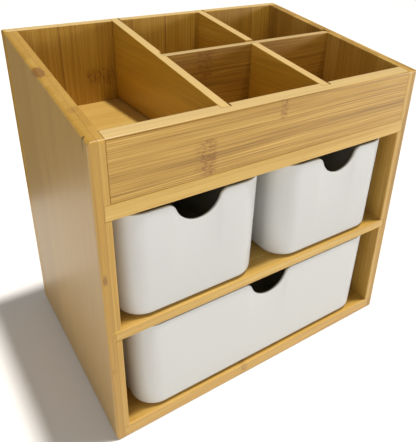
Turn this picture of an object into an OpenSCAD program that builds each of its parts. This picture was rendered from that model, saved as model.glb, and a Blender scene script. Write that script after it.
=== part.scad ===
// Bamboo desk organizer: an open-fronted carcass of glued boards whose rim slopes down to
// the front, with five compartments on top, three dividers that lift out and three bins
// that pull out to the front.
// +X is to the right, -Y is the front, +Z is up. The origin is the middle of the footprint.

/* [Carcass] */
// Width over both side panels
body_w = 250; // [200:1:400]
// Depth from the front edges to the back face
body_d = 167; // [130:1:320]
// Height of the front, from the base to the rim
front_h = 219; // [180:1:360]
// Height of the back, from the base to the rim
back_h = 247; // [200:1:400]
// Thickness of each side panel
side_t = 9.5; // [8.5:0.5:14]
// Thickness of the back panel
back_t = 10; // [9:0.5:16]
// Thickness of the apron across the front of the compartments
apron_t = 9.5; // [8:0.5:16]
// Thickness of the top shelf and of the bottom panel
shelf_t = 10; // [8:0.5:14]
// Thickness of the middle shelf
middle_t = 7; // [5:0.5:14]
// Depth of the top compartments at the front, from the rim to the top shelf
tray_h = 37; // [30:0.5:70]
// Clear height of the upper bay
upper_bay_h = 78; // [60:0.5:100]

/* [Edges] */
// Radius along the lower edges of the two sides
foot_r = 4.5; // [2:0.5:8]
// Radius along the upper edges of the two sides
rim_r = 2.5; // [1:0.5:4]
// Radius along the front's upper and lower edges
front_r = 1.6; // [0.8:0.2:3]
// Radius along the back's upper and lower edges
back_r = 5; // [1:0.5:8]
// Radius of the upright edges at the front and back
upright_r = 2; // [0.8:0.2:3]
// Radius that eases every other edge of a board
ease_r = 0.6; // [0.2:0.1:1]

/* [Joinery] */
// Depth of the dadoes that hold the ends of the shelves
dado_depth = 4; // [2:0.5:5]
// Diameter of the dowels
dowel_d = 5; // [4:0.5:6]
// Length of each dowel
dowel_l = 25; // [20:1:30]
// Depth of a dowel hole in the face of a board
dowel_face_depth = 7; // [5:0.5:8]
// Space left for glue past the inner end of a dowel
glue_pocket = 0.5; // [0.2:0.1:1]
// Distance of the apron's dowels from its long edges
apron_dowel_edge = 10; // [6:0.5:14]

/* [Dividers] */
// Thickness of each divider
divider_t = 6.5; // [4:0.5:9]
// Distance of the cross divider's centre behind the centre of the carcass
cross_y = 1.5; // [-30:0.5:30]
// Gap between a divider and the tight side of its groove, and at its ends
groove_fit = 0.3; // [0.2:0.05:0.6]
// Gap between a divider and the loose side of its groove
groove_slack = 0.8; // [0.3:0.1:1.2]
// Gap under the dividers
divider_lift = 0.8; // [0.3:0.1:2]
// Depth of the grooves in the apron
apron_groove = 4; // [2:0.5:5]
// Depth of the grooves in the back panel
back_groove = 6; // [2:0.5:7]
// Depth of the groove in the right side panel
side_groove = 3; // [1.5:0.5:5]
// Depth of the groove in the long divider
long_groove = 2; // [1:0.5:2.5]

/* [Bins] */
// Gap from the left side panel to the left small bin
left_bin_gap = 3; // [0.5:0.5:6]
// Gap between the two small bins
bin_gap = 12.5; // [1:0.5:15]
// Gap from the right small bin to the right side panel
right_bin_gap = 7.5; // [0.5:0.5:15]
// Gap from the left side panel to the wide bin
wide_left_gap = 9; // [0.5:0.5:15]
// Gap from the wide bin to the right side panel
wide_right_gap = 9.5; // [0.5:0.5:15]
// Gap above the small bins
small_top_gap = 2.2; // [1:0.1:10]
// Gap above the wide bin
wide_top_gap = 1.4; // [1:0.1:12]
// Distance of the bins' rims behind the carcass's front edges
bin_setback = 0.5; // [0:0.5:10]
// Gap behind the bins
bin_back_gap = 5; // [1:0.5:20]
// Gap under the bins
bin_floor_gap = 0.3; // [0.2:0.1:0.6]
// Thickness of a bin's walls and base
bin_wall = 2; // [1.4:0.1:3]
// Outside radius of a bin's upright corners, at the rim
bin_corner_r = 18; // [12:1:30]
// How far each wall leans in from the rim to the base
bin_draft = 1.4; // [0.5:0.1:3]
// Outside radius between a bin's walls and its base
bin_base_r = 4.5; // [3.5:0.5:8]

/* [Finger notch] */
// Depth of the notch below the rim
notch_depth = 15; // [12:0.5:22]
// Radius of the bottom of the notch
notch_r = 16.5; // [11:0.5:18]
// Radius of the shoulders that lead down into the notch
shoulder_r = 6; // [4:0.5:11]

/* [Hidden] */
$fn = 96;
over = 1; // how far a cut runs past the face that it opens

// the boards' inner faces
side_x = body_w / 2 - side_t;
back_y = body_d / 2 - back_t;
front_y = -body_d / 2;
apron_y = front_y + apron_t;
tray_z = front_h - tray_h;
top_shelf_z = tray_z - shelf_t;
middle_shelf_z = top_shelf_z - upper_bay_h - middle_t;
lower_bay_h = middle_shelf_z - shelf_t;

// the rim's highest end and its slope; rim_z(y) is its height at a distance behind the centre
top_h = max(front_h, back_h);
slope = atan((back_h - front_h) / body_d);
function rim_z(y) = front_h + (y - front_y) * tan(slope);

// the dividers stand a third of the inner width apart
divider_x = (side_x * 2 - divider_t * 2) / 6 + divider_t / 2;
divider_z = tray_z + divider_lift;
cross_top_z = rim_z(cross_y - divider_t / 2);
lap_z = (divider_z + cross_top_z) / 2;
long_face_x = -divider_x + divider_t / 2;

// the bins share their front and back lines, and each fills its own bay less the gaps
bin_y = front_y + bin_setback;
bin_l = back_y - bin_back_gap - bin_y;
small_w = (side_x * 2 - left_bin_gap - bin_gap - right_bin_gap) / 2;
small_h = upper_bay_h - small_top_gap - bin_floor_gap;
small_z = middle_shelf_z + middle_t + bin_floor_gap;
small_left_x = -side_x + left_bin_gap + small_w / 2;
small_right_x = side_x - right_bin_gap - small_w / 2;
wide_w = side_x * 2 - wide_left_gap - wide_right_gap;
wide_h = lower_bay_h - wide_top_gap - bin_floor_gap;
wide_z = shelf_t + bin_floor_gap;
wide_x = -side_x + wide_left_gap + wide_w / 2;

// the dowels' places
apron_dowel_y = front_y + apron_t / 2;
apron_dowel_x = side_x + dowel_face_depth - glue_pocket;
apron_low_z = tray_z + apron_dowel_edge;
apron_high_z = front_h - apron_dowel_edge;
back_dowel_x = body_w / 2 - side_t / 2;
back_dowel_y = back_y + dowel_face_depth - glue_pocket;
back_low_z = shelf_t + lower_bay_h / 2;
back_mid_z = top_shelf_z - upper_bay_h / 2;
back_high_z = (tray_z + back_h) / 2;

board_colour = "#c99f5f";
edge_colour = "#d9b577";
divider_colour = "#b98a45";
bin_colour = "#e4e3df";
dowel_colour = "#d8bd8c";

// ---- shared shapes ----

// What a radius takes off a corner, whose two edges run in the directions a and b
module corner_waste(corner, a, b, r) {
    half = (b - a) / 2;
    touch = r / tan(half);
    middle = r / sin(half);
    past = over / sin(half);
    translate(corner) rotate(a) difference() {
        polygon([[touch, 0], [touch, -over], [-past * cos(half), -past * sin(half)],
                 [touch * cos(b - a) - over * sin(b - a), touch * sin(b - a) + over * cos(b - a)],
                 [touch * cos(b - a), touch * sin(b - a)],
                 [middle * cos(half), middle * sin(half)]]);
        translate([middle * cos(half), middle * sin(half)]) circle(r);
    }
}

// What its own radius takes off each corner of a rectangle from low to high
module outline_waste(low, high, low_left, low_right, high_right, high_left) {
    corner_waste(low, 0, 90, low_left);
    corner_waste([high.x, low.y], 90, 180, low_right);
    corner_waste(high, 180, 270, high_right);
    corner_waste([low.x, high.y], 270, 360, high_left);
}

// Rectangle from low to high with its own radius at each corner
module rounded_outline(low, high, low_left, low_right, high_right, high_left) {
    difference() {
        translate(low) square(high - low);
        outline_waste(low, high, low_left, low_right, high_right, high_left);
    }
}

// Side view of a board that stands from z up to the sloping rim
module sloped_outline(front, back, z, low_front, low_back, high_back, high_front) {
    difference() {
        polygon([[front, z], [back, z], [back, rim_z(back)], [front, rim_z(front)]]);
        corner_waste([front, z], 0, 90, low_front);
        corner_waste([back, z], 90, 180, low_back);
        corner_waste([back, rim_z(back)], 180 + slope, 270, high_back);
        corner_waste([front, rim_z(front)], 270, 360 + slope, high_front);
    }
}

// What a radius takes off the rim along both sides of a board that is so wide
module rim_waste(left, right, r) {
    reach = body_d + top_h;
    translate([0, front_y, front_h]) rotate([slope, 0, 0]) translate([0, reach, 0])
        rotate([90, 0, 0]) linear_extrude(2 * reach) {
            corner_waste([left, 0], 270, 360, r);
            corner_waste([right, 0], 180, 270, r);
        }
}

// Outside of the whole carcass, which is sanded after the boards are glued
module envelope() {
    low = [-body_w / 2, front_y, 0];
    high = [body_w / 2, body_d / 2, top_h + foot_r];
    difference() {
        intersection() {
            linear_extrude(top_h)
                rounded_outline([low.x, low.y], [high.x, high.y],
                                upright_r, upright_r, upright_r, upright_r);
            translate([0, high.y, 0]) rotate([90, 0, 0]) linear_extrude(body_d)
                rounded_outline([low.x, low.z], [high.x, high.z],
                                foot_r, foot_r, foot_r, foot_r);
            translate([low.x, 0, 0]) rotate([90, 0, 90]) linear_extrude(body_w)
                sloped_outline(low.y, high.y, low.z, front_r, back_r, back_r, front_r);
        }
        rim_waste(low.x, high.x, rim_r);
    }
}

// Board between two corners, with every edge eased
module board(low, high) {
    size = high - low;
    intersection() {
        translate([0, 0, low.z]) linear_extrude(size.z)
            rounded_outline([low.x, low.y], [high.x, high.y], ease_r, ease_r, ease_r, ease_r);
        translate([0, high.y, 0]) rotate([90, 0, 0]) linear_extrude(size.y)
            rounded_outline([low.x, low.z], [high.x, high.z], ease_r, ease_r, ease_r, ease_r);
        translate([low.x, 0, 0]) rotate([90, 0, 90]) linear_extrude(size.x)
            rounded_outline([low.y, low.z], [high.y, high.z], ease_r, ease_r, ease_r, ease_r);
    }
}

// Board that stands from low up to the sloping rim, with every edge eased
module rim_board(low, right, back) {
    difference() {
        intersection() {
            translate([0, back, 0]) rotate([90, 0, 0]) linear_extrude(back - low.y)
                rounded_outline([low.x, low.z], [right, top_h + over],
                                ease_r, ease_r, ease_r, ease_r);
            translate([low.x, 0, 0]) rotate([90, 0, 90]) linear_extrude(right - low.x)
                sloped_outline(low.y, back, low.z, ease_r, ease_r, ease_r, ease_r);
        }
        translate([0, 0, low.z - over]) linear_extrude(top_h - low.z + 2 * over)
            outline_waste([low.x, low.y], [right, back], ease_r, ease_r, ease_r, ease_r);
        rim_waste(low.x, right, ease_r);
    }
}

// Dowel with chamfered ends, from its outer end at the origin towards +Z
module dowel() {
    r = dowel_d / 2;
    chamfer = dowel_d / 8;
    color(dowel_colour) rotate_extrude()
        polygon([[0, 0], [r - chamfer, 0], [r, chamfer], [r, dowel_l - chamfer],
                 [r - chamfer, dowel_l], [0, dowel_l]]);
}

// Hole for a dowel, past both of its ends
module dowel_hole() {
    translate([0, 0, -glue_pocket]) cylinder(d = dowel_d, h = dowel_l + 2 * glue_pocket);
}

// Places what points along +Z at an apron dowel; side is -1 on the left and 1 on the right
module at_apron_dowel(side, z) {
    translate([side * apron_dowel_x, apron_dowel_y, z]) rotate([0, -90 * side, 0]) children();
}

// Places what points along +Z at a back dowel
module at_back_dowel(side, z) {
    translate([side * back_dowel_x, back_dowel_y, z]) rotate([90, 0, 0]) children();
}

// ---- carcass ----

// Dado for the end of a shelf; side is -1 on the left and 1 on the right
module dado(side, z, height) {
    translate([side > 0 ? side_x - over : -side_x - dado_depth, front_y - over, z])
        cube([dado_depth + over, body_d + 2 * over, height]);
}

// Side panel without its grooves; side is -1 on the left and 1 on the right
module side_board(side) {
    outer = side * body_w / 2;
    inner = side * side_x;
    difference() {
        intersection() {
            rim_board([min(outer, inner), front_y, 0], max(outer, inner), back_y);
            envelope();
        }
        dado(side, -over, shelf_t + over);
        dado(side, middle_shelf_z, middle_t);
        dado(side, top_shelf_z, shelf_t);
        for (z = [apron_low_z, apron_high_z]) at_apron_dowel(side, z) dowel_hole();
        for (z = [back_low_z, back_mid_z, back_high_z]) at_back_dowel(side, z) dowel_hole();
    }
}

module side_panel_left() {
    color(board_colour) side_board(-1);
}

module side_panel_right() {
    color(board_colour) difference() {
        side_board(1);
        translate([side_x - over, cross_y - divider_t / 2 - groove_fit, tray_z])
            cube([side_groove + over, divider_t + groove_fit + groove_slack,
                  top_h - tray_z + over]);
    }
}

// Grooves for the two dividers that run front to back, opening at the rim
module divider_grooves(y, depth) {
    for (x = [-divider_x, divider_x])
        translate([x - divider_t / 2 - groove_fit, y, tray_z])
            cube([divider_t + groove_fit + groove_slack, depth, top_h - tray_z + over]);
}

module back_panel() {
    color(board_colour) difference() {
        intersection() {
            rim_board([-body_w / 2, back_y, 0], body_w / 2, body_d / 2);
            envelope();
        }
        divider_grooves(back_y - over, back_groove + over);
        for (side = [-1, 1], z = [back_low_z, back_mid_z, back_high_z])
            at_back_dowel(side, z) dowel_hole();
    }
}

module front_apron() {
    color(board_colour) difference() {
        intersection() {
            rim_board([-side_x, front_y, tray_z], side_x, apron_y);
            envelope();
        }
        divider_grooves(apron_y - apron_groove, apron_groove + over);
        for (side = [-1, 1], z = [apron_low_z, apron_high_z]) at_apron_dowel(side, z) dowel_hole();
    }
}

// Shelf with its ends in the dadoes
module shelf(z, thickness) {
    color(edge_colour) intersection() {
        board([-side_x - dado_depth, front_y, z],
              [side_x + dado_depth, back_y, z + thickness]);
        envelope();
    }
}

module top_shelf() shelf(top_shelf_z, shelf_t);
module middle_shelf() shelf(middle_shelf_z, middle_t);
module bottom_panel() shelf(0, shelf_t);

// ---- dividers ----

// Divider from the apron's groove to the back panel's groove, with its upper edges eased
module divider_board(x) {
    left = x - divider_t / 2;
    right = x + divider_t / 2;
    difference() {
        translate([left, 0, 0]) rotate([90, 0, 90]) linear_extrude(divider_t)
            sloped_outline(apron_y - apron_groove + groove_fit,
                           back_y + back_groove - groove_fit, divider_z,
                           ease_r, ease_r, ease_r, ease_r);
        rim_waste(left, right, ease_r);
    }
}

module divider_long() {
    color(divider_colour) difference() {
        divider_board(-divider_x);
        translate([long_face_x - long_groove, cross_y - divider_t / 2 - groove_fit,
                   divider_z - over])
            cube([long_groove + over, divider_t + groove_fit + groove_slack,
                  top_h - divider_z + 2 * over]);
    }
}

// The cross divider drops over this one: the slot opens at the rim
module divider_mid() {
    color(divider_colour) difference() {
        divider_board(divider_x);
        translate([divider_x - divider_t / 2 - over, cross_y - divider_t / 2 - groove_fit,
                   lap_z - groove_fit])
            cube([divider_t + 2 * over, divider_t + 2 * groove_fit, top_h - lap_z + over]);
    }
}

module divider_cross() {
    color(divider_colour) difference() {
        board([long_face_x - long_groove + groove_fit, cross_y - divider_t / 2, divider_z],
              [side_x + side_groove - groove_fit, cross_y + divider_t / 2, cross_top_z]);
        translate([divider_x - divider_t / 2 - groove_fit, cross_y - divider_t / 2 - over,
                   divider_z - over])
            cube([divider_t + 2 * groove_fit, divider_t + 2 * over, lap_z - divider_z + over]);
    }
}

// ---- bins ----

// Half section of a bin at a corner, from the corner's axis outwards; inset is 0 outside
// and the wall's thickness inside
module bin_section(height, inset) {
    top = height + (inset > 0 ? over : 0);
    lean = bin_draft * top / height;
    foot = bin_corner_r - bin_draft - bin_base_r;
    polygon([[0, bin_base_r], [foot + bin_base_r - inset, bin_base_r],
             [foot + bin_base_r + lean - inset, top], [0, top]]);
    translate([0, inset]) square([foot, bin_base_r - inset]);
    intersection() {
        translate([foot, bin_base_r]) circle(bin_base_r - inset);
        square([bin_corner_r, bin_base_r]);
    }
}

// Solid with a bin's leaning walls, round corners and rounded base, centred on the origin
module bin_form(width, length, height, inset) {
    corner_x = width / 2 - bin_corner_r;
    corner_y = length / 2 - bin_corner_r;
    for (sx = [0, 1], sy = [0, 1]) mirror([sx, 0, 0]) mirror([0, sy, 0])
        translate([corner_x, corner_y, 0]) rotate_extrude(angle = 90) bin_section(height, inset);
    for (sx = [0, 1]) mirror([sx, 0, 0])
        translate([corner_x, corner_y, 0]) rotate([90, 0, 0])
            linear_extrude(2 * corner_y) bin_section(height, inset);
    for (sy = [0, 1]) mirror([0, sy, 0])
        translate([-corner_x, corner_y, 0]) rotate([90, 0, 90])
            linear_extrude(2 * corner_x) bin_section(height, inset);
    translate([-corner_x, -corner_y, inset])
        cube([2 * corner_x, 2 * corner_y, height - inset + (inset > 0 ? over : 0)]);
}

// Outline of the finger notch, with the rim at y = 0
module notch_outline() {
    bottom_y = notch_r - notch_depth;
    reach = notch_r + shoulder_r;
    shoulder_x = sqrt(reach * reach - pow(bottom_y + shoulder_r, 2));
    turn_y = bottom_y - (bottom_y + shoulder_r) * notch_r / reach;
    translate([0, bottom_y]) circle(notch_r);
    difference() {
        translate([-shoulder_x, turn_y]) square([2 * shoulder_x, over - turn_y]);
        for (x = [-shoulder_x, shoulder_x]) translate([x, -shoulder_r]) circle(shoulder_r);
    }
}

module bin(x, z, width, height) {
    color(bin_colour) translate([x, bin_y + bin_l / 2, z]) difference() {
        bin_form(width, bin_l, height, 0);
        bin_form(width, bin_l, height, bin_wall);
        translate([0, over - bin_l / 2 + bin_draft + bin_wall, height]) rotate([90, 0, 0])
            linear_extrude(bin_wall + bin_draft + 2 * over) notch_outline();
    }
}

module bin_small_left() bin(small_left_x, small_z, small_w, small_h);
module bin_small_right() bin(small_right_x, small_z, small_w, small_h);
module bin_wide() bin(wide_x, wide_z, wide_w, wide_h);

// ---- what is drawn ----

side_panel_left();
side_panel_right();
back_panel();
front_apron();
top_shelf();
middle_shelf();
bottom_panel();
divider_long();
divider_mid();
divider_cross();
bin_small_left();
bin_small_right();
bin_wide();
at_apron_dowel(-1, apron_low_z) dowel();  // apron_dowel_left_low
at_apron_dowel(-1, apron_high_z) dowel();  // apron_dowel_left_high
at_apron_dowel(1, apron_low_z) dowel();  // apron_dowel_right_low
at_apron_dowel(1, apron_high_z) dowel();  // apron_dowel_right_high
at_back_dowel(-1, back_low_z) dowel();  // back_dowel_left_low
at_back_dowel(-1, back_mid_z) dowel();  // back_dowel_left_mid
at_back_dowel(-1, back_high_z) dowel();  // back_dowel_left_high
at_back_dowel(1, back_low_z) dowel();  // back_dowel_right_low
at_back_dowel(1, back_mid_z) dowel();  // back_dowel_right_mid
at_back_dowel(1, back_high_z) dowel();  // back_dowel_right_high
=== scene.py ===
import math
import bpy
import bmesh
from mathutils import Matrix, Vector


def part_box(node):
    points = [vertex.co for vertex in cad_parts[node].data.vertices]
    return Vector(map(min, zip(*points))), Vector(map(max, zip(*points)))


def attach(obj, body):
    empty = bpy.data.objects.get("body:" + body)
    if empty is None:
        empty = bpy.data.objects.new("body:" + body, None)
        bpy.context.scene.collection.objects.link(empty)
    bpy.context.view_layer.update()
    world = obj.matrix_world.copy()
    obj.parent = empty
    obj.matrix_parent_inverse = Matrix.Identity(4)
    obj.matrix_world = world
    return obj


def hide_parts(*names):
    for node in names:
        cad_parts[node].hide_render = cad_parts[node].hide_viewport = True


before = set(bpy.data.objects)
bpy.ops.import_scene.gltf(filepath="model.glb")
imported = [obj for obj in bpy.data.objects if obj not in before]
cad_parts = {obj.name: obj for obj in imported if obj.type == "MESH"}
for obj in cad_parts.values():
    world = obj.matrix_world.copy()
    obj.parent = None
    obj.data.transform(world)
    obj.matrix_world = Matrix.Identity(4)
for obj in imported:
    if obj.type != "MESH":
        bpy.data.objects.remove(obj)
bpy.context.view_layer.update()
mm = 0.001
carcassLow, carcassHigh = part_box("back_panel")  # it is as wide and as high as the whole carcass

cameraLook = {
    "place": (-193.55 * mm, -292.48 * mm, 314.23 * mm),
    "direction": (0.4735, 0.7671, -0.4328),
    "lens": 39.81,  # millimetres, for a sensor 36 mm wide
    "shift": (0.0312, -0.1430),
}
# a high sun from the right, a low window that lights the tops of the compartments, and two soft fills
lightLook = {
    "overhead": {"kind": "SUN", "place": (0.28, -0.10, 1.5), "power": 2.9, "colour": "#fffcf7",
                 "width": 4.5},  # degrees, and metres for the others
    "window": {"kind": "AREA", "place": (1.15, -0.80, 0.34), "power": 5.0, "colour": "#fffdf8",
               "width": 0.22},
    "front": {"kind": "AREA", "place": (-0.45, -1.50, 0.40), "power": 2.2, "colour": "#ffffff",
              "width": 1.0},
    "left": {"kind": "AREA", "place": (-1.20, -0.80, 0.60), "power": 3.6, "colour": "#fff9f0",
             "width": 0.8},
}
lightAim = (0.0, 0.0, 0.11)  # the middle of the carcass
roomLook = {"strength": 0.21, "colour": "#fffdfa", "seen": "#ffffff"}
floorLook = {
    "size": 40.0, "colour": "#fbfaf9", "roughness": 0.9, "specular": 0.0,
    "grain": 1.11 * mm, "bump": 0.05, "bumpDepth": 0.2 * mm,
}
cardLook = {
    "behind": 0.185, "height": 0.6, "width": 2.0, "overlap": 0.02,
    "colour": "#3a3029", "roughness": 0.9,
}


def linear(hexCode):  # sRGB hex to the linear colour that a shader takes
    parts = [int(hexCode[i:i + 2], 16) / 255 for i in (1, 3, 5)]
    return [c / 12.92 if c <= 0.04045 else ((c + 0.055) / 1.055) ** 2.4 for c in parts] + [1.0]


def addNode(tree, kind, inputs=(), **settings):  # one node, with its settings, values and links
    node = tree.nodes.new("ShaderNode" + kind)
    for name, value in settings.items():
        setattr(node, name, value)
    pairs = inputs.items() if isinstance(inputs, dict) else enumerate(inputs)
    for key, value in pairs:
        if isinstance(value, bpy.types.Node):
            value = value.outputs[0]
        if isinstance(value, bpy.types.NodeSocket):
            tree.links.new(value, node.inputs[key])
        else:
            node.inputs[key].default_value = value
    return node


def newMaterial(name):
    material = bpy.data.materials.new(name)
    material.use_nodes = True
    material.node_tree.nodes.clear()
    return material, material.node_tree


def makeCamera(look):
    data = bpy.data.cameras.new("camera")
    data.lens = look["lens"]
    data.shift_x, data.shift_y = look["shift"]
    data.clip_start = 0.01
    camera = bpy.data.objects.new("camera", data)
    bpy.context.collection.objects.link(camera)
    camera.location = look["place"]
    camera.rotation_euler = Vector(look["direction"]).to_track_quat("-Z", "Y").to_euler()
    bpy.context.scene.camera = camera


def makeLight(name, look, aim):
    data = bpy.data.lights.new(name, look["kind"])
    if look["kind"] == "SUN":
        data.angle = math.radians(look["width"])
    else:
        data.size = look["width"]
    data.energy = look["power"]
    data.color = linear(look["colour"])[:3]
    light = bpy.data.objects.new(name, data)
    bpy.context.collection.objects.link(light)
    light.location = look["place"]
    toAim = Vector(aim) - Vector(look["place"])
    light.rotation_euler = toAim.to_track_quat("-Z", "Y").to_euler()


def makeRoom(look):  # white where the camera sees past the floor, softer as light on the object
    world = bpy.data.worlds.new("room")
    bpy.context.scene.world = world
    world.use_nodes = True
    tree = world.node_tree
    tree.nodes.clear()
    path = addNode(tree, "LightPath")
    soft = addNode(tree, "Background", {"Color": linear(look["colour"]), "Strength": look["strength"]})
    seen = addNode(tree, "Background", {"Color": linear(look["seen"]), "Strength": 1.0})
    mixed = addNode(tree, "MixShader", (path.outputs["Is Camera Ray"], soft, seen))
    addNode(tree, "OutputWorld", {"Surface": mixed})


def deselectAll():
    if bpy.context.object and bpy.context.object.mode != "OBJECT":
        bpy.ops.object.mode_set(mode="OBJECT")
    bpy.ops.object.select_all(action="DESELECT")


def makeFloor(look):
    deselectAll()
    bpy.ops.mesh.primitive_plane_add(size=look["size"], location=(0, 0, 0))
    floor = bpy.context.object
    floor.name = "floor"
    # uncoated pulp board: plain white and matt, with a faint tooth
    material, tree = newMaterial("matt white card")
    coords = addNode(tree, "TexCoord")
    grain = addNode(tree, "TexNoise", {"Vector": coords.outputs["Object"], "Scale": 1 / look["grain"],
                                       "Detail": 2.0})
    bump = addNode(tree, "Bump", {"Height": grain, "Strength": look["bump"],
                                  "Distance": look["bumpDepth"]})
    card = addNode(tree, "BsdfPrincipled", {"Base Color": linear(look["colour"]),
                                            "Roughness": look["roughness"], "Normal": bump,
                                            "Specular IOR Level": look["specular"]})
    addNode(tree, "OutputMaterial", {"Surface": card})
    floor.data.materials.append(material)


def makeCard(look):  # it stands behind on the left, and only the lacquer's reflection shows it
    deselectAll()
    bpy.ops.mesh.primitive_plane_add(size=1, rotation=(math.pi / 2, 0, 0))
    card = bpy.context.object
    card.name = "mirrored_card"
    card.scale = (look["width"], look["height"], 1)
    card.location = (carcassLow.x - look["width"] / 2 + look["overlap"],
                     carcassHigh.y + look["behind"], look["height"] / 2)
    card.visible_camera = card.visible_shadow = card.visible_diffuse = False
    # pressed wool felt: dark brown, with no shine
    material, tree = newMaterial("pressed felt")
    felt = addNode(tree, "BsdfPrincipled", {"Base Color": linear(look["colour"]),
                                            "Roughness": look["roughness"]})
    addNode(tree, "OutputMaterial", {"Surface": felt})
    card.data.materials.append(material)


makeCamera(cameraLook)
makeRoom(roomLook)
for lightName, look in lightLook.items():
    makeLight(lightName, look, lightAim)
makeFloor(floorLook)
makeCard(cardLook)
bpy.context.scene.view_settings.view_transform = "Standard"
print("camera, light and floor are set")


# Strips of bamboo glued side by side and lacquered: long straight fibres that end as dots on
# the cut ends, a tone of its own in each strip, thin dark glue lines, and wavy brown nodes.
bambooLook = {
    "dark": "#835e1f", "middle": "#bb903c", "light": "#dab664", "toneEnds": (0.18, 0.82), "lift": 0.0,
    "fibre": 1.3 * mm, "fibreLength": 75 * mm,  # real fibres are finer; coarser here so that they show
    "fibreDetail": 3.0, "fibreRoughness": 0.62,
    "strip": 8 * mm, "stripStart": 0.5, "ply": 5.2 * mm, "plyStart": 0.5, "plyPhase": 0.37,
    "drift": 1.2 * mm, "driftSize": (111 * mm, 33.3 * mm),  # how far the fibres wander off the straight
    "cloud": (143 * mm, 18.2 * mm, 18.2 * mm),
    "glueLine": 0.35 * mm, "glue": 0.30, "plyGlue": 0.0,
    "stripTone": 0.34, "fibreTone": 0.60, "cloudTone": 0.30,
    "stripShift": 0.9, "plySeed": 7.31,  # so that no two strips have the same fibres
    "roughness": 0.40, "roughnessSpread": 0.07, "ior": 1.5, "lacquer": 0.09, "lacquerRoughness": 0.30,
    "bump": 0.22, "bumpDepth": 0.15 * mm,
    "knotColour": "#7d4e12",
    "seed": 0.0, "knots": [], "marks": [], "tints": [],
}
# a node's wavy wisps, which thin out from a solid part in the middle of its width and reach
knotLook = {
    "wisp": (3.7 * mm, 1.47 * mm, 1.47 * mm), "wispDetail": 1.5, "wispBend": 0.7,
    "wispTones": (0.43, 0.60), "betweenWisps": 0.12, "wobble": 6.67 * mm,
    "solidWidth": 0.25, "solidReach": 0.75,
}
# where a mark stops being solid and where it ends, as shares of its size, and how ragged it is
markLook = {"solid": 0.75, "end": 1.25, "ragged": 0.5, "tooth": 2.38 * mm}
tintLook = {"full": 0.95, "none": 0.6}  # how squarely a face looks the tint's way


def stretched(tree, parts, sizes):  # a place measured in the pattern's own sizes
    scaled = [addNode(tree, "Math", (part, 1 / size), operation="MULTIPLY")
              for part, size in zip(parts, sizes)]
    return addNode(tree, "CombineXYZ", scaled)


def markMask(tree, position, mark):  # a soft ellipsoid round a place, with a ragged edge
    mark = {**markLook, **mark}
    offset = addNode(tree, "VectorMath", (position, [v * mm for v in mark["at"]]), operation="SUBTRACT")
    sized = addNode(tree, "VectorMath", (offset, [1 / (v * mm) for v in mark["size"]]),
                    operation="MULTIPLY")
    distance = addNode(tree, "VectorMath", (sized,), operation="LENGTH").outputs["Value"]
    ragged = addNode(tree, "TexNoise", {"Vector": position, "Scale": 1 / mark["tooth"], "Detail": 2.0})
    edge = addNode(tree, "Math", (ragged, mark["ragged"], distance), operation="MULTIPLY_ADD")
    return addNode(tree, "MapRange", {"Value": edge, "From Min": mark["solid"], "From Max": mark["end"],
                                      "To Min": mark["strength"], "To Max": 0.0},
                   interpolation_type="SMOOTHSTEP")


def tintMask(tree, tint):  # the faces that look one way, where a tint lays painted light or shade
    normal = addNode(tree, "TexCoord").outputs["Normal"]
    facing = addNode(tree, "VectorMath", (normal, tint["faces"]), operation="DOT_PRODUCT")
    return addNode(tree, "MapRange", {"Value": facing.outputs["Value"], "From Min": tintLook["full"],
                                      "From Max": tintLook["none"], "To Min": tint["strength"],
                                      "To Max": 0.0}, interpolation_type="SMOOTHSTEP")


def knotMask(tree, along, across, wisps, wobble, knot):  # the band of wavy wisps at a bamboo node
    fromKnot = addNode(tree, "Math", (along, knot["along"] * mm), operation="SUBTRACT")
    waved = addNode(tree, "Math", (wobble, knot["wave"] * mm, fromKnot), operation="MULTIPLY_ADD")
    width = knot["width"] * mm
    band = addNode(tree, "MapRange", {"Value": addNode(tree, "Math", (waved,), operation="ABSOLUTE"),
                                      "From Min": knotLook["solidWidth"] * width, "From Max": width,
                                      "To Min": 1.0, "To Max": 0.0}, interpolation_type="SMOOTHSTEP")
    aside = addNode(tree, "Math", (across, knot["across"] * mm), operation="SUBTRACT")
    reach = knot["reach"] * mm
    ends = addNode(tree, "MapRange", {"Value": addNode(tree, "Math", (aside,), operation="ABSOLUTE"),
                                      "From Min": knotLook["solidReach"] * reach, "From Max": reach,
                                      "To Min": 1.0, "To Max": 0.0}, interpolation_type="SMOOTHSTEP")
    mask = addNode(tree, "Math", (band, ends), operation="MULTIPLY")
    mask = addNode(tree, "Math", (mask, wisps), operation="MULTIPLY")
    return addNode(tree, "Math", (mask, knot["strength"]), operation="MULTIPLY")


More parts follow.
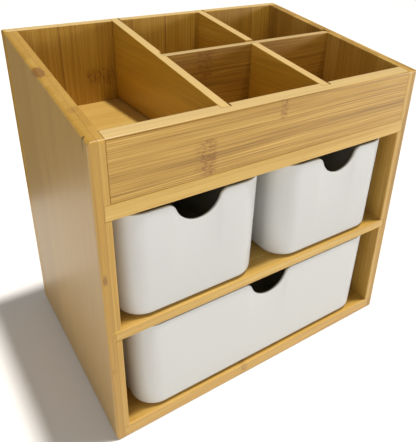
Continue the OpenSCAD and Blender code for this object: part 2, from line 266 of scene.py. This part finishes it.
def makeBamboo(name, axes, look):  # axes are those along the fibres, across them and through the board
    look = {**bambooLook, **look}
    material, tree = newMaterial(name)
    position = addNode(tree, "TexCoord").outputs["Object"]
    split = addNode(tree, "SeparateXYZ", (position,))
    along, across, through = (split.outputs[axis] for axis in axes)

    # plies through the board, strips across it, and the glue between them
    plyPlace = addNode(tree, "Math", (through, 1 / look["ply"], look["plyStart"]),
                       operation="MULTIPLY_ADD")
    plyIndex = addNode(tree, "Math", (plyPlace,), operation="FLOOR")
    driftPlace = stretched(tree, (along, across, look["seed"]), look["driftSize"] + (1,))
    drift = addNode(tree, "TexNoise", {"Vector": driftPlace, "Scale": 1.0})
    bent = addNode(tree, "Math", (drift, look["drift"], across), operation="MULTIPLY_ADD")
    stripPlace = addNode(tree, "Math", (bent, 1 / look["strip"], look["stripStart"]),
                         operation="MULTIPLY_ADD")
    stripPlace = addNode(tree, "Math", (plyIndex, look["plyPhase"], stripPlace),
                         operation="MULTIPLY_ADD")
    stripIndex = addNode(tree, "Math", (stripPlace,), operation="FLOOR")
    stripSeed = addNode(tree, "Math", (stripIndex, look["seed"]), operation="ADD")
    stripSeed = addNode(tree, "Math", (plyIndex, look["plySeed"], stripSeed), operation="MULTIPLY_ADD")
    stripTone = addNode(tree, "TexWhiteNoise", {"W": stripSeed}, noise_dimensions="1D").outputs["Value"]
    stripPart = addNode(tree, "Math", (stripPlace,), operation="FRACT")
    fromMiddle = addNode(tree, "Math", (stripPart, 0.5), operation="SUBTRACT")
    fromMiddle = addNode(tree, "Math", (fromMiddle,), operation="ABSOLUTE")
    glue = addNode(tree, "Math", (fromMiddle, 0.5 - look["glueLine"] / look["strip"]),
                   operation="GREATER_THAN")
    glueTone = addNode(tree, "Math", (stripTone, look["glue"]), operation="MULTIPLY")
    glue = addNode(tree, "Math", (glue, glueTone), operation="MULTIPLY")
    plyPart = addNode(tree, "Math", (plyPlace,), operation="FRACT")
    plyLine = addNode(tree, "Math", (plyPart, look["glueLine"] / look["ply"]), operation="LESS_THAN")
    plyLine = addNode(tree, "Math", (plyLine, look["plyGlue"]), operation="MULTIPLY")
    darken = addNode(tree, "Math", (glue, plyLine), operation="MAXIMUM")

    # fibres and broader clouds of tone, which start anew in each strip
    shifted = addNode(tree, "Math", (stripTone, look["stripShift"], along), operation="MULTIPLY_ADD")
    fibrePlace = stretched(tree, (shifted, bent, through),
                           (look["fibreLength"], look["fibre"], look["fibre"]))
    streaks = addNode(tree, "TexNoise", {"Vector": fibrePlace, "Scale": 1.0,
                                         "Detail": look["fibreDetail"],
                                         "Roughness": look["fibreRoughness"]})
    cloudPlace = stretched(tree, (shifted, across, through), look["cloud"])
    clouds = addNode(tree, "TexNoise", {"Vector": cloudPlace, "Scale": 1.0, "Detail": 2.0})
    tone = addNode(tree, "Math", (clouds, look["cloudTone"]), operation="MULTIPLY")
    tone = addNode(tree, "Math", (streaks, look["fibreTone"], tone), operation="MULTIPLY_ADD")
    tone = addNode(tree, "Math", (stripTone, look["stripTone"], tone), operation="MULTIPLY_ADD")
    middleTone = (look["stripTone"] + look["fibreTone"] + look["cloudTone"]) / 2
    tone = addNode(tree, "Math", (tone, 0.5 - middleTone + look["lift"]), operation="ADD")
    ramp = addNode(tree, "ValToRGB", (tone,))
    stops = ramp.color_ramp.elements
    stops[0].position, stops[1].position = look["toneEnds"]
    stops[0].color = linear(look["dark"])
    stops[1].color = linear(look["light"])
    stops.new(0.5).color = linear(look["middle"])
    colour = ramp.outputs["Color"]

    if look["knots"]:
        wispPlace = stretched(tree, (along, across, through), knotLook["wisp"])
        wispNoise = addNode(tree, "TexNoise", {"Vector": wispPlace, "Scale": 1.0,
                                               "Detail": knotLook["wispDetail"],
                                               "Distortion": knotLook["wispBend"]})
        faintest, fullest = knotLook["wispTones"]
        wisps = addNode(tree, "MapRange", {"Value": wispNoise, "From Min": faintest,
                                           "From Max": fullest, "To Min": knotLook["betweenWisps"]})
        wobble = addNode(tree, "TexNoise", {"Vector": position, "Scale": 1 / knotLook["wobble"],
                                            "Detail": 1.0})
        wobble = addNode(tree, "Math", (wobble, 0.5), operation="SUBTRACT")
        for knot in look["knots"]:
            mask = knotMask(tree, along, across, wisps, wobble, knot)
            darken = addNode(tree, "Math", (darken, mask), operation="MAXIMUM")

    # what lies over the plain colour, from the glue lines and nodes to the painted light and shade on
    # faces that look one way
    layers = [(darken, look["knotColour"])]
    layers += [(markMask(tree, position, mark), mark["colour"]) for mark in look["marks"]]
    layers += [(tintMask(tree, tint), tint["colour"]) for tint in look["tints"]]
    for mask, layerColour in layers:
        mixed = addNode(tree, "Mix", {"Factor": mask, 6: colour, 7: linear(layerColour)},
                        data_type="RGBA")
        colour = mixed.outputs[2]

    rough = addNode(tree, "MapRange", {"Value": streaks,
                                       "To Min": look["roughness"] - look["roughnessSpread"],
                                       "To Max": look["roughness"] + look["roughnessSpread"]})
    height = addNode(tree, "Math", (streaks, darken), operation="SUBTRACT")
    bump = addNode(tree, "Bump", {"Height": height, "Strength": look["bump"],
                                  "Distance": look["bumpDepth"]})
    wood = addNode(tree, "BsdfPrincipled", {"Base Color": colour, "Roughness": rough, "Normal": bump,
                                            "IOR": look["ior"], "Coat Weight": look["lacquer"],
                                            "Coat Roughness": look["lacquerRoughness"]})
    addNode(tree, "OutputMaterial", {"Surface": wood})
    return material


# places and sizes of knots and marks are in millimetres, and a knot's are along and across the fibres
paleEndsAndTopLight = {"faces": (0, 0, 1), "strength": 0.55, "colour": "#f0d496"}  # paler on upward faces: partly the paler cut ends of the plies, partly painted top light
# painted shade: the right side's inner face, which looks away from the lights, darker
paintedShadeInnerFace = {"faces": (-1, 0, 0), "strength": 0.3, "colour": "#6f4c18"}
# painted reflection: the left side's outer face greyish and paler, as the lacquer mirrors the pale floor
paintedReflectionLeftFace = {"faces": (-1, 0, 0), "strength": 0.38, "colour": "#a3906d"}
boards = {
    "side_panel_left": {
        "grain": "ZYX", "strip": 21 * mm, "ply": 7.0 * mm, "plyStart": 0.114, "seed": 3.0,
        "stripTone": 0.08, "fibreTone": 0.42, "cloudTone": 0.14, "fibre": 0.9 * mm, "plyGlue": 0.45,
        "tints": [paintedReflectionLeftFace],
        "marks": [
            # dark knots on the front edge
            {"at": (-122.6, -83.5, 135), "size": (1.7, 3, 4.6), "strength": 0.65, "colour": "#7a4f1e"},
            {"at": (-122.6, -83.5, 64), "size": (1.5, 3, 3.5), "strength": 0.3, "colour": "#8a5f2a"},
            # a node and a smudge on the rim, and a crack below its front end
            {"at": (-122.5, 2, 233), "size": (4.2, 10, 3.5), "strength": 0.7, "colour": "#7c4f26",
             "solid": 0.95},
            {"at": (-121, -50, 224.5), "size": (3, 4.5, 3), "strength": 0.30, "colour": "#8a5c2c"},
            {"at": (-125, -76.5, 219), "size": (1.6, 0.9, 8), "strength": 0.85, "colour": "#33200d",
             "ragged": 0.1},
            # a streak and a faint knot on the outer face
            {"at": (-125, 2, 162), "size": (2, 5, 22), "strength": 0.30, "colour": "#6f4a1d",
             "solid": 0.1},
            {"at": (-125, -32, 33), "size": (2, 8, 8), "strength": 0.25, "colour": "#7a5426",
             "solid": 0.1},
            # glue squeezed out at the end of the middle shelf
            {"at": (-117.7, -83.5, 94.3), "size": (3.4, 2, 0.9), "strength": 0.8, "colour": "#e2bd3c"},
            {"at": (-118, -83.5, 88.6), "size": (3.0, 2, 0.8), "strength": 0.7, "colour": "#dcb644"},
        ]},
    "side_panel_right": {
        "grain": "ZYX", "strip": 19 * mm, "ply": 7.0 * mm, "plyStart": 0.886, "seed": 41.0,
        "stripTone": 0.20, "fibreTone": 0.6, "plyGlue": 0.45, "tints": [paintedShadeInnerFace]},
    "back_panel": {
        "grain": "ZXY", "strip": 30 * mm, "ply": 5.0 * mm, "stripStart": 0.30, "seed": 12.0,
        "stripTone": 0.20, "fibreTone": 0.6, "glueLine": 0.5 * mm, "glue": 1.0,
        "dark": "#80590f", "middle": "#b88b2a", "light": "#d8b45a",
        "knots": [{"along": 203, "across": -56, "reach": 14, "width": 9, "wave": 8, "strength": 0.75}],
        "tints": [paleEndsAndTopLight]},
    "front_apron": {
        "grain": "XZY", "strip": 6.2 * mm, "ply": 40 * mm, "seed": 5.0, "stripTone": 0.24,
        "fibre": 0.9 * mm, "fibreLength": 110 * mm, "fibreTone": 1.15, "cloudTone": 0.16,
        "knots": [{"along": -56, "across": 194, "reach": 13, "width": 9, "wave": 9, "strength": 0.75},
                  {"along": -0.5, "across": 213, "reach": 7, "width": 4, "wave": 3, "strength": 0.7}],
        # the seam at its left end
        "marks": [{"at": (-115.5, -83.5, 200), "size": (0.7, 2, 40), "strength": 0.35,
                   "colour": "#a8781f", "ragged": 0.3}],
        "tints": [paleEndsAndTopLight]},
    "top_shelf": {
        # its tone is lifted more than the other shelves': painted light, for the sunlit floor of the tray
        "grain": "XYZ", "strip": 20 * mm, "ply": 5.0 * mm, "seed": 23.0, "lift": 0.25,
        "stripTone": 0.2, "fibreTone": 0.42},
    "middle_shelf": {
        "grain": "XYZ", "strip": 20 * mm, "ply": 3.5 * mm, "seed": 29.0, "lift": 0.12,
        "stripTone": 0.2, "fibreTone": 0.42},
    "bottom_panel": {
        "grain": "XYZ", "strip": 20 * mm, "ply": 3.3 * mm, "seed": 31.0, "lift": 0.12,
        "stripTone": 0.22, "fibreTone": 0.45,
        "knots": [{"along": -20, "across": -80, "reach": 8, "width": 4, "wave": 3, "strength": 0.6}]},
    "divider_long": {
        "grain": "YZX", "strip": 60 * mm, "ply": 20 * mm, "seed": 51.0, "fibreTone": 0.42,
        "stripTone": 0.1, "cloudTone": 0.2, "middle": "#c2952c", "light": "#ddb458",
        "tints": [paleEndsAndTopLight]},
    "divider_mid": {
        "grain": "YZX", "strip": 60 * mm, "ply": 20 * mm, "seed": 57.0, "fibreTone": 0.5,
        "stripTone": 0.1, "cloudTone": 0.25, "middle": "#b98a28", "light": "#dcb158",
        "tints": [paleEndsAndTopLight]},
    "divider_cross": {
        "grain": "XZY", "strip": 40 * mm, "ply": 20 * mm, "seed": 61.0, "fibreTone": 0.8,
        # its ramp is darker than the other dividers': painted shade, for a face that stands in the
        # compartments' shade
        "stripTone": 0.15, "drift": 5.0 * mm, "dark": "#64400b", "middle": "#a07424", "light": "#cb9e46",
        "tints": [paleEndsAndTopLight],
        "knots": [{"along": -5, "across": 222, "reach": 11, "width": 10, "wave": 12, "strength": 0.8}]},
}
for node, look in boards.items():
    axes = ["XYZ".index(letter) for letter in look["grain"]]
    bamboo = makeBamboo("laminated bamboo, " + node.replace("_", " "), axes, look)
    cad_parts[node].data.materials[0] = bamboo
print("bamboo boards have their material")

# Turned beech pins, hidden in the joints: pale, close-grained and unvarnished.
dowelLook = {
    "dark": "#b98f5c", "middle": "#cfa873", "light": "#dcbb8a", "strip": 50 * mm, "ply": 50 * mm,
    "fibre": 0.5 * mm, "fibreLength": 12 * mm, "glue": 0.0, "lacquer": 0.0, "roughness": 0.6,
}
for kind, axes in (("apron", (0, 1, 2)), ("back", (1, 0, 2))):
    beech = makeBamboo("turned beech, " + kind + " dowels", axes, dowelLook)
    for node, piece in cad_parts.items():
        if node.startswith(kind + "_dowel"):
            piece.data.materials[0] = beech
print("dowels have their material")


# Injection-moulded polypropylene: white, a fine satin texture from the mould, soft highlights.
plasticLook = {
    "colour": "#cecfcd", "roughness": 0.42, "roughnessSpread": 0.06, "ior": 1.49,
    "texture": 0.5 * mm,  # the mould's spark texture is finer; coarser here so that it shows
    "bump": 0.12, "bumpDepth": 0.04 * mm,
    "cloud": 55.6 * mm, "cloudTone": 0.965,
    "shade": 0.0, "shadeReach": 60 * mm, "openness": (0.25, 0.60),
}
insideLook = {**plasticLook, "shade": 0.95}  # painted shade: the deep inside of a bin in its bay is painted almost dark
binLook = {
    "wall": 2.0 * mm, "lean": 1.4 * mm, "smoothAngle": 35,
    "near": 0.1 * mm, "frontBand": 1.5, "frontFacing": 0.9,  # to pick out parts of the mesh
    "cornerRadius": 18 * mm, "cornerSteps": 16, "baseRadius": 4.5 * mm, "baseSteps": 7,
    "rimRadius": 0.55 * mm, "rimSteps": 3, "rimAngle": 50,
    "notchDepth": 15 * mm, "notchRadius": 16.5 * mm, "shoulderRadius": 6 * mm, "notchSteps": 14,
}


def makePlastic(name, look):
    material, tree = newMaterial(name)
    position = addNode(tree, "TexCoord").outputs["Object"]
    fine = addNode(tree, "TexNoise", {"Vector": position, "Scale": 1 / look["texture"], "Detail": 2.0})
    broad = addNode(tree, "TexNoise", {"Vector": position, "Scale": 1 / look["cloud"], "Detail": 1.0})
    amount = addNode(tree, "MapRange", {"Value": broad, "To Min": look["cloudTone"], "To Max": 1.0})
    if look["shade"]:
        fewest, most = look["openness"]
        # painted shade: ambient occlusion darkens the colour where the inside is enclosed
        depth = addNode(tree, "AmbientOcclusion", {"Distance": look["shadeReach"]}, samples=8)
        shaded = addNode(tree, "MapRange", {"Value": depth.outputs["AO"],
                                            "From Min": fewest, "From Max": most,
                                            "To Min": 1 - look["shade"], "To Max": 1.0},
                         interpolation_type="SMOOTHSTEP")
        amount = addNode(tree, "Math", (amount, shaded), operation="MULTIPLY")
    colour = addNode(tree, "VectorMath", {0: linear(look["colour"])[:3], "Scale": amount},
                     operation="SCALE")
    rough = addNode(tree, "MapRange", {"Value": fine,
                                       "To Min": look["roughness"] - look["roughnessSpread"],
                                       "To Max": look["roughness"] + look["roughnessSpread"]})
    bump = addNode(tree, "Bump", {"Height": fine, "Strength": look["bump"],
                                  "Distance": look["bumpDepth"]})
    plastic = addNode(tree, "BsdfPrincipled", {"Base Color": colour, "Roughness": rough,
                                               "Normal": bump, "IOR": look["ior"]})
    addNode(tree, "OutputMaterial", {"Surface": plastic})
    return material


def editSelection(piece, kind, chosen):  # selects what the test picks, and leaves edit mode on
    bpy.ops.object.mode_set(mode="EDIT")
    bpy.ops.mesh.select_mode(type=kind)
    bpy.ops.mesh.select_all(action="DESELECT")
    bm = bmesh.from_edit_mesh(piece.data)
    for part in {"VERT": bm.verts, "EDGE": bm.edges, "FACE": bm.faces}[kind]:
        if chosen(part):
            part.select_set(True)
    bm.select_flush_mode()
    bmesh.update_edit_mesh(piece.data)


def notchPoints(look):  # the notch's outline from its middle outwards, as distance and height
    radius, shoulder = look["notchRadius"], look["shoulderRadius"]
    centre = radius - look["notchDepth"]  # above the rim
    reach = radius + shoulder
    shoulderX = math.sqrt(reach ** 2 - (centre + shoulder) ** 2)
    turn = math.asin(shoulderX / reach)
    steps = look["notchSteps"]
    points = []
    for i in range(steps + 1):
        angle = turn * i / steps
        points.append((radius * math.sin(angle), centre - radius * math.cos(angle)))
    for i in range(1, steps + 1):
        angle = turn * (1 - i / steps)
        points.append((shoulderX - shoulder * math.sin(angle), shoulder * math.cos(angle) - shoulder))
    return points


def makeBin(node, look, outside, inside):
    low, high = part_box(node)
    size = high - low
    centre = (low + high) / 2
    deselectAll()
    bpy.ops.mesh.primitive_cube_add(size=1, location=centre, scale=size)
    piece = bpy.context.object
    piece.name = node.replace("bin_", "") + "_bin"
    bpy.ops.object.transform_apply(location=True, rotation=False, scale=True)
    # the walls lean in towards the base
    editSelection(piece, "VERT", lambda v: v.co.z < centre.z)
    leanScale = (1 - 2 * look["lean"] / size.x, 1 - 2 * look["lean"] / size.y, 1)
    bpy.ops.transform.resize(value=leanScale, center_override=centre)
    # round corners, then the round edge under them
    editSelection(piece, "EDGE", lambda e: abs(e.verts[0].co.z - e.verts[1].co.z) > size.z / 2)
    bpy.ops.mesh.bevel(offset=look["cornerRadius"], segments=look["cornerSteps"], affect="EDGES")
    bottom = low.z + look["near"]
    editSelection(piece, "EDGE", lambda e: e.verts[0].co.z < bottom and e.verts[1].co.z < bottom)
    bpy.ops.mesh.bevel(offset=look["baseRadius"], segments=look["baseSteps"], affect="EDGES")
    top = high.z - look["near"]
    editSelection(piece, "FACE", lambda f: f.calc_center_median().z > top)
    bpy.ops.mesh.delete(type="FACE")

    # cuts down the front wall, where the rim drops into the finger notch
    frontLine = low.y + look["frontBand"] * look["lean"]

    def onFrontWall(face):
        middle = face.calc_center_median()
        if face.normal.y > -look["frontFacing"]:
            return False
        return middle.y < frontLine and middle.z > low.z + look["baseRadius"]

    points = notchPoints(look)
    for x, _ in points:
        for side in ((1,) if x == 0 else (-1, 1)):
            editSelection(piece, "FACE", onFrontWall)
            bpy.ops.mesh.bisect(plane_co=(centre.x + side * x, 0, 0), plane_no=(1, 0, 0))
    bpy.ops.object.mode_set(mode="OBJECT")
    for vertex in piece.data.vertices:
        if vertex.co.z > top and vertex.co.y < frontLine:
            x = abs(vertex.co.x - centre.x)
            drop = next((height for px, height in points if abs(px - x) < 0.2 * look["near"]), 0.0)
            vertex.co.z += drop
            vertex.co.y -= look["lean"] * drop / size.z  # it stays on the leaning wall

    # the wall's thickness and the round of the rim
    piece.data.materials.append(outside)
    piece.data.materials.append(inside)
    wall = piece.modifiers.new("wall", "SOLIDIFY")
    wall.thickness = look["wall"]
    wall.offset = -1.0
    wall.use_even_offset = True
    wall.material_offset = 1  # the inner side takes the second material
    bpy.ops.object.modifier_apply(modifier=wall.name)
    rim = piece.modifiers.new("rim", "BEVEL")
    rim.width = look["rimRadius"]
    rim.segments = look["rimSteps"]
    rim.limit_method = "ANGLE"
    rim.angle_limit = math.radians(look["rimAngle"])
    bpy.ops.object.modifier_apply(modifier=rim.name)
    bpy.ops.object.shade_smooth_by_angle(angle=math.radians(look["smoothAngle"]))
    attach(piece, node)
    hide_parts(node)
    print(piece.name, "has", len(piece.data.polygons), "faces")


whitePlastic = makePlastic("moulded polypropylene", plasticLook)
whiteInside = makePlastic("moulded polypropylene, inside", insideLook)
for binNode in ("bin_small_left", "bin_small_right", "bin_wide"):
    makeBin(binNode, binLook, whitePlastic, whiteInside)
    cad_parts[binNode].data.materials[0] = whitePlastic
print("bins are made")
